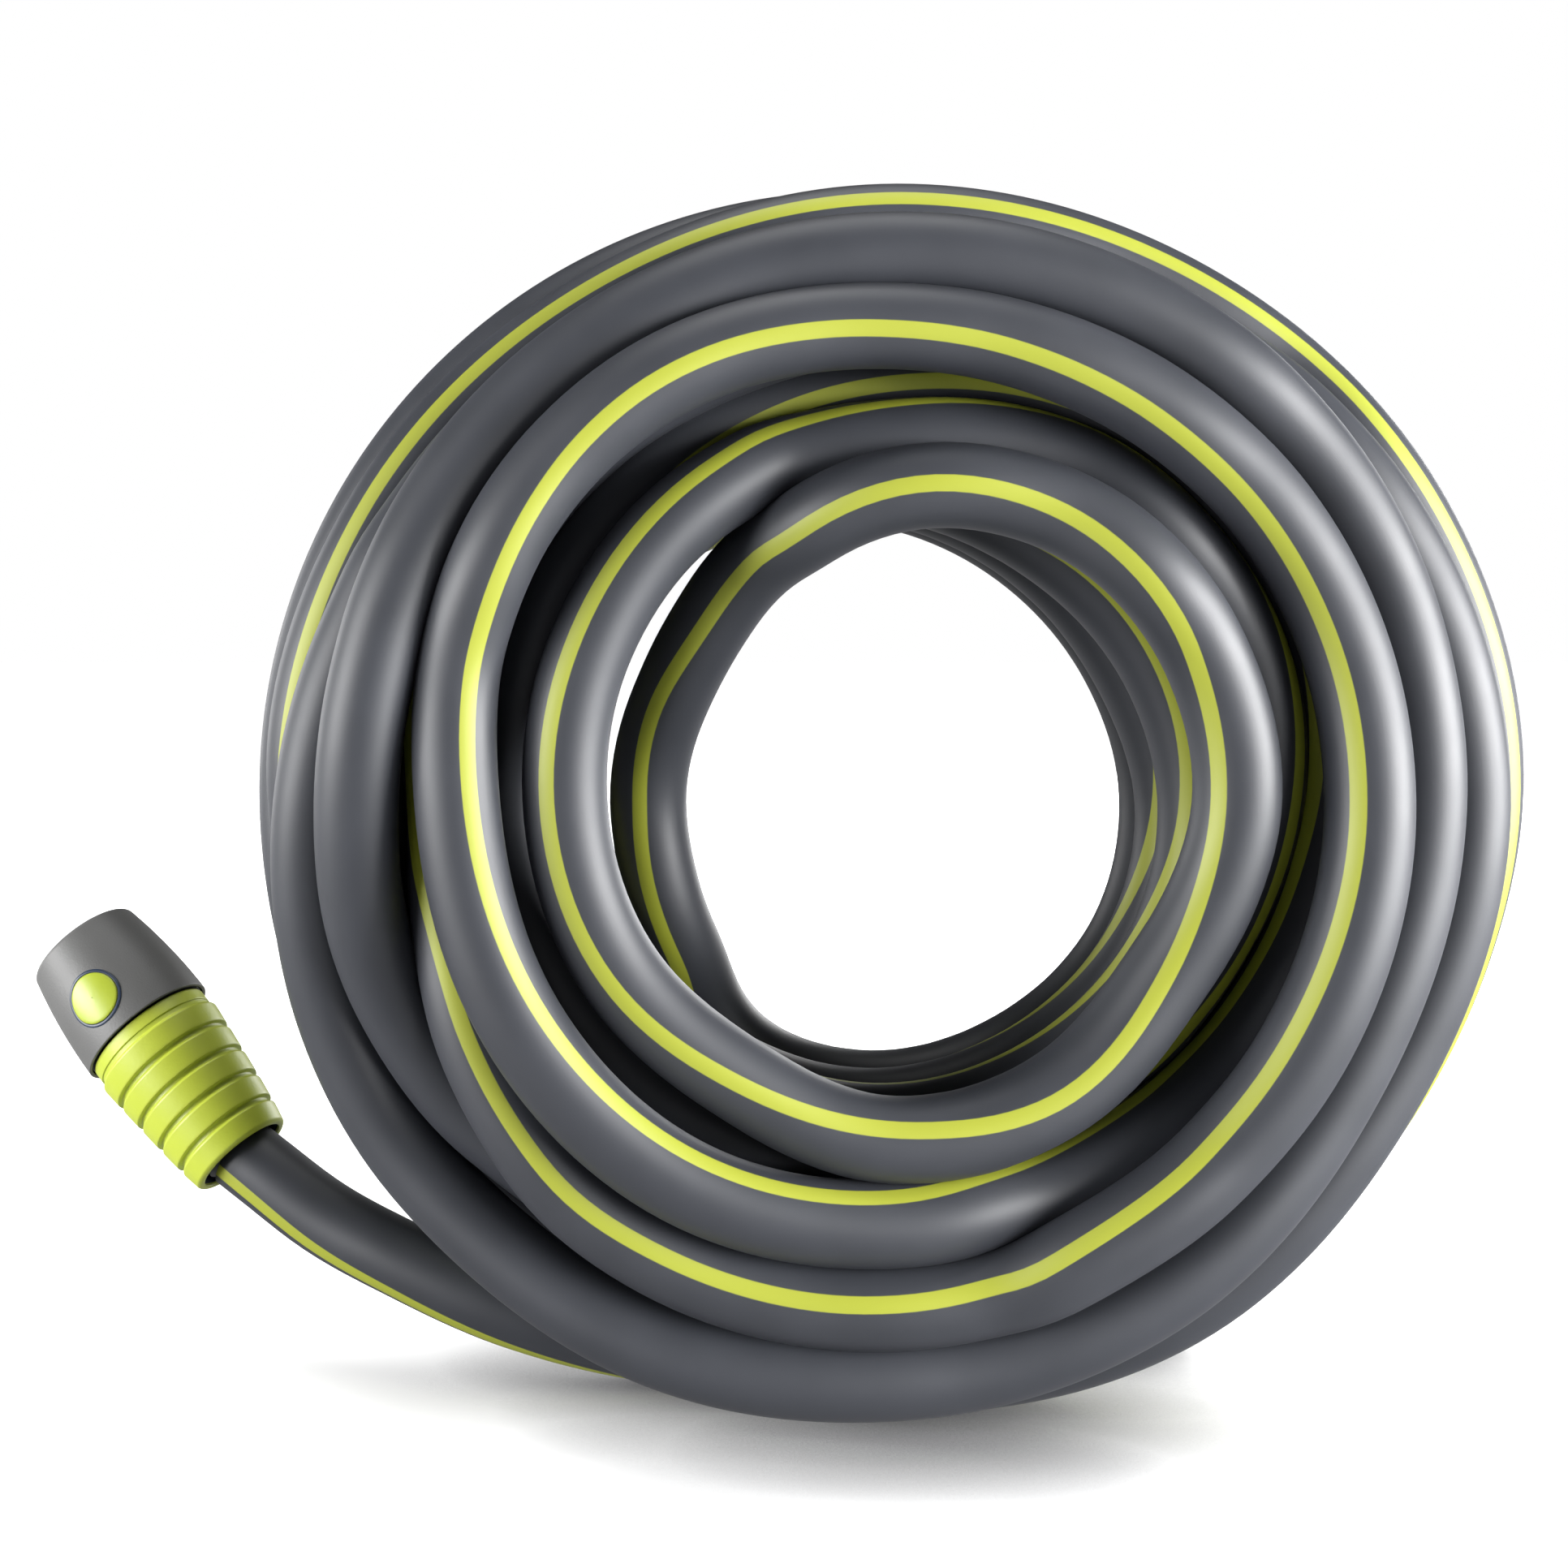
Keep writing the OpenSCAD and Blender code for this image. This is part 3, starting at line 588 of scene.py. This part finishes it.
side_stations = [sleeve_z + side_length * u / side_steps for u in range(side_steps + 1)]
sleeve_outline = [(sleeve_side(z), z) for z in side_stations]
for degrees in (15, 30, 45, 60, 75, 90):
    a = math.radians(degrees)
    sleeve_outline.append((tip_r - tip_round * (1 - math.cos(a)), sleeve_end - tip_round * (1 - math.sin(a))))
sleeve_outline += [
    (nose_bore_r, sleeve_end), (nose_bore_r, nose_lip_z),
    (claw_room_r, nose_lip_z), (claw_room_r, spring_top_z),
    (spring_room_r, spring_top_z), (spring_room_r, skirt_top_z),
    (skirt_bore_r, skirt_top_z), (skirt_bore_r, sleeve_z),
]
sleeve_shell = plastic(
    "sleeve_shell", paint(95, 95, 94), paint(86, 86, 85), fineness=1900, roughness=0.52, relief=0.00009,
)

# Pads: a round, slightly crowned lime pad in a raised navy rim, both pressed into a recess in
# the side of each sleeve. They slide with it, so all three pieces are put in place together.
pad_z = 49.8
pad_aside = 2.4
pad_r = 6.2
pad_rim = 0.9
pad_sink = 0.8
pad_rise = 0.5
pad_crown = 0.25


def on_sleeve(place, across, along, rise):
    """Point above the sleeve's side, at a distance across and along from the pad's middle."""
    z = pad_z + along
    r = sleeve_side(z) + rise
    a = (across + pad_aside) / sleeve_side(pad_z)
    return place @ Vector((r * math.cos(a) / 1000, r * math.sin(a) / 1000, z / 1000))


def set_in(name, rows, place):
    """Round piece set into the sleeve's side; each row is a radius and a rise above the side."""
    steps = 72
    round_once = [2 * math.pi * s / steps for s in range(steps)]
    points = [
        on_sleeve(place, r * math.cos(a), r * math.sin(a), rise) for r, rise in rows for a in round_once
    ]
    faces = []
    for i in range(len(rows) - 1):
        inner, outer = i * steps, (i + 1) * steps
        for s in range(steps):
            n = (s + 1) % steps
            faces.append((inner + s, inner + n, outer + n, outer + s))
    return new_piece(name, points, faces)


pad_rows = [(pad_r * 0.02, pad_rise + pad_crown)]
pad_rows += [(pad_r * u, pad_rise + pad_crown * (1 - u * u)) for u in (0.2, 0.4, 0.6, 0.75, 0.85, 0.92)]
pad_rows += [
    (pad_r - 0.2, pad_rise - 0.02), (pad_r - 0.06, pad_rise - 0.14),
    (pad_r, pad_rise - 0.34), (pad_r, -pad_sink),
]
rim_rows = [
    (pad_r - 0.02, -pad_sink), (pad_r - 0.02, 0.02), (pad_r + 0.08, 0.16), (pad_r + 0.3, 0.24),
    (pad_r + 0.6, 0.24), (pad_r + 0.82, 0.16), (pad_r + pad_rim, 0), (pad_r + pad_rim, -pad_sink),
]
pad_lime = plastic(
    "pad_lime", paint(162, 176, 52), paint(154, 168, 44), fineness=1200, roughness=0.4, relief=0.00003,
)
rim_navy = plastic(
    "rim_navy", paint(38, 52, 74), paint(30, 44, 64), fineness=1200, roughness=0.42, relief=0.00003,
)
for end, place in (("tool", tool_frame), ("tap", tap_frame)):
    shell = turned_piece(f"{end}_sleeve_shell", sleeve_outline, ease=0.25, place=place)
    pad = set_in(f"{end}_side_pad", pad_rows, place)
    rim = set_in(f"{end}_side_rim", rim_rows, place)
    for piece, material, node, slot in (
        (shell, sleeve_shell, "release_sleeve", "shell"),
        (pad, pad_lime, "sleeve_pad", "lime"),
        (rim, rim_navy, "pad_rim", "navy"),
    ):
        piece.data.materials.append(material)
        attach(piece, f"{end}_sleeve_body")
        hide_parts(f"{end}_{node}")

# Works inside the connectors: dark glass-filled bodies and nuts, white acetal collets, claws
# and valve, and black seals. Only the nose of the body and the mouth of the nut show. These
# pieces keep their own shape and are given their materials here.
body_dark = plastic(
    "body_dark", paint(46, 49, 56), paint(38, 41, 48), fineness=1600, roughness=0.42, relief=0.00005,
)
acetal_white = plastic(
    "acetal_white", paint(226, 226, 220), paint(216, 216, 210), fineness=1400, roughness=0.38, relief=0.00003,
)
seal_rubber = plastic(
    "seal_rubber", paint(28, 28, 29), paint(22, 22, 23), fineness=1800, roughness=0.55, relief=0.00004,
)
nut_navy = plastic(
    "nut_navy", paint(34, 44, 58), paint(26, 36, 50), fineness=1600, roughness=0.4, relief=0.00004,
)
fitted = {
    "spigot": body_dark, "barrel": body_dark, "union_nut": nut_navy, "joint_seal": seal_rubber,
    "claw_ring": acetal_white, "collet": acetal_white, "hose_end": hose_pvc,
    "valve_guide": acetal_white, "valve_poppet": acetal_white, "valve_seal": seal_rubber,
}
for name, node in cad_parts.items():
    kind = name.split("_", 1)[1]
    if kind in fitted:
        for slot in node.material_slots:
            slot.material = fitted[kind]

# Springs: bright steel wire wound in open coils that close up towards both ends. The wide one
# stands on the body's flange and pushes the sleeve home, the narrow one shuts the valve.
spring_steel = plastic(
    "spring_steel", paint(190, 192, 196), paint(176, 178, 183), fineness=3000, roughness=0.3, relief=0.00001,
)
spring_steel.node_tree.nodes["Principled BSDF"].inputs["Metallic"].default_value = 1.0


def coil_spring(name, node, place, ring_r, wire_d, turns, low, high):
    """Wire wound between two heights on a connector's axis."""
    steps = 28
    sides = 12
    closing = 0.7
    count = turns * steps
    points = []
    for i in range(count + 1):
        a = 2 * math.pi * i / steps
        share = i / count
        share -= closing * math.sin(2 * math.pi * share) / (2 * math.pi)
        z = low + wire_d / 2 + (high - low - wire_d) * share
        for b in (2 * math.pi * k / sides for k in range(sides)):
            r = ring_r + wire_d / 2 * math.cos(b)
            point = Vector((r * math.cos(a), r * math.sin(a), z + wire_d / 2 * math.sin(b)))
            points.append(place @ (point / 1000))
    faces = []
    for i in range(count):
        here, there = i * sides, (i + 1) * sides
        for k in range(sides):
            n = (k + 1) % sides
            faces.append((here + k, there + k, there + n, here + n))
    faces.append(tuple(range(sides)))
    faces.append(tuple(range(count * sides, (count + 1) * sides))[::-1])
    spring = new_piece(name, points, faces)
    spring.data.materials.append(spring_steel)
    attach(spring, "hose")
    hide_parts(node)
    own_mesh(spring)


for end, place in (("tool", tool_frame), ("tap", tap_frame)):
    coil_spring(
        f"{end}_sleeve_coil", f"{end}_sleeve_spring", place,
        ring_r=13.9, wire_d=1.2, turns=3, low=42.5, high=50.4,
    )
coil_spring(
    "tool_valve_coil", "tool_valve_spring", tool_frame,
    ring_r=4.2, wire_d=0.9, turns=4, low=30.1, high=39.6,
)

# The hose leaves the tap connector, and the whole tool connector hangs on its far end
own_pieces = ("grip_cover", "sleeve_shell", "side_pad", "side_rim", "sleeve_coil", "valve_coil")
tool_pieces = [bpy.data.objects[f"tool_{name}"] for name in own_pieces]
tool_pieces += [
    node for name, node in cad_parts.items()
    if name.startswith("tool_") and name.split("_", 1)[1] in fitted
]

# Studio table: a seamless white sheet. Near the object an occlusion node paints a soft dark shadow into the
# colour and glow that the eye sees, on top of the lamps' own shadows; light that bounces off the table meets
# a plain grey instead. To the eye it brightens with distance, so it has no edge against the room.
bpy.ops.mesh.primitive_plane_add(size=8)
table = bpy.context.object
table.name = "table"
table_white, nodes, links, shader = new_material("table_white", (0.86, 0.86, 0.87, 1), 0.9)
shader.inputs["Specular IOR Level"].default_value = 0.0
# Painted shadow: the occlusion node darkens the table's colour and its glow wherever the object comes near
contact = nodes.new("ShaderNodeAmbientOcclusion")
contact.samples = 8
contact.inputs["Distance"].default_value = 0.032
depth = nodes.new("ShaderNodeMath")
depth.operation = "POWER"
depth.inputs[1].default_value = 1.2
painted_shadow = nodes.new("ShaderNodeMix")
painted_shadow.data_type = "RGBA"
painted_shadow.inputs["A"].default_value = (0.04, 0.04, 0.043, 1)
painted_shadow.inputs["B"].default_value = (0.9, 0.9, 0.9, 1)
seen = nodes.new("ShaderNodeLightPath")
table_tone = nodes.new("ShaderNodeMix")
table_tone.data_type = "RGBA"
table_tone.inputs["A"].default_value = (0.42, 0.42, 0.43, 1)
table_place = nodes.new("ShaderNodeTexCoord")
far_out = nodes.new("ShaderNodeVectorMath")
far_out.operation = "LENGTH"
haze = nodes.new("ShaderNodeMapRange")
haze.interpolation_type = "SMOOTHSTEP"
haze.inputs["From Min"].default_value = 0.2
haze.inputs["From Max"].default_value = 1.1
haze.inputs["To Min"].default_value = 0.6
haze.inputs["To Max"].default_value = 1.15
lift = nodes.new("ShaderNodeMath")
lift.operation = "MULTIPLY"
links.new(contact.outputs["AO"], depth.inputs[0])
links.new(depth.outputs[0], painted_shadow.inputs["Factor"])
links.new(seen.outputs["Is Camera Ray"], table_tone.inputs["Factor"])
links.new(painted_shadow.outputs["Result"], table_tone.inputs["B"])
links.new(table_tone.outputs["Result"], shader.inputs["Base Color"])
links.new(painted_shadow.outputs["Result"], shader.inputs["Emission Color"])
links.new(table_place.outputs["Object"], far_out.inputs[0])
links.new(far_out.outputs["Value"], haze.inputs["Value"])
links.new(seen.outputs["Is Camera Ray"], lift.inputs[0])
links.new(haze.outputs[0], lift.inputs[1])
links.new(lift.outputs[0], shader.inputs["Emission Strength"])
table.data.materials.append(table_white)

# Room and lamps: a white room that itself gives little light, a large soft lamp low on each
# side, a small one at the front right, one overhead, and two weak ones behind.
room_light = 0.02
room = bpy.data.worlds.new("room")
bpy.context.scene.world = room
room.use_nodes = True
nodes = room.node_tree.nodes
links = room.node_tree.links
sky = nodes["Background"]
sky.inputs["Color"].default_value = (1, 1, 1, 1)
seen = nodes.new("ShaderNodeLightPath")
pale = nodes.new("ShaderNodeMath")
pale.operation = "MULTIPLY_ADD"
pale.inputs[1].default_value = 1 - room_light
pale.inputs[2].default_value = room_light
links.new(seen.outputs["Is Camera Ray"], pale.inputs[0])
links.new(pale.outputs[0], sky.inputs["Strength"])


def soft_lamp(name, place, target, size, power):
    """Square lamp that faces its target."""
    lamp = bpy.data.lights.new(name, "AREA")
    lamp.shape = "SQUARE"
    lamp.size = size
    lamp.energy = power
    holder = bpy.data.objects.new(name, lamp)
    bpy.context.collection.objects.link(holder)
    holder.location = place
    holder.rotation_euler = (Vector(target) - Vector(place)).to_track_quat("-Z", "Y").to_euler()


soft_lamp("left", (-1.25, -0.45, 0.1), target=(0, 0, 0.1), size=0.9, power=54)
soft_lamp("right", (1.2, -0.45, 0.06), target=(0, 0, 0.1), size=0.9, power=104)
soft_lamp("front_right", (0.95, -0.95, 0.05), target=(0, 0, 0.08), size=0.6, power=19)
soft_lamp("overhead", (0, 0.05, 1.4), target=(0, -0.02, 0), size=0.8, power=9)
soft_lamp("back_left", (-1.1, 1.0, 0.2), target=(0, 0.05, 0.1), size=0.8, power=9)
soft_lamp("back_right", (0.8, 1.25, 0.25), target=(0, 0.05, 0.1), size=0.8, power=15)

# Camera: a normal lens held level, a little above the middle of the coil, with its frame
# shifted down and to the right so that the whole object stands in it.
camera = bpy.data.cameras.new("camera")
camera.lens = 46.58
camera.shift_x = 0.1398
camera.shift_y = -0.1315
viewer = bpy.data.objects.new("camera", camera)
bpy.context.collection.objects.link(viewer)
viewer.location = viewer_place
viewer.rotation_euler = (math.radians(90), 0, 0)
bpy.context.scene.camera = viewer
bpy.context.scene.view_settings.view_transform = "Standard"
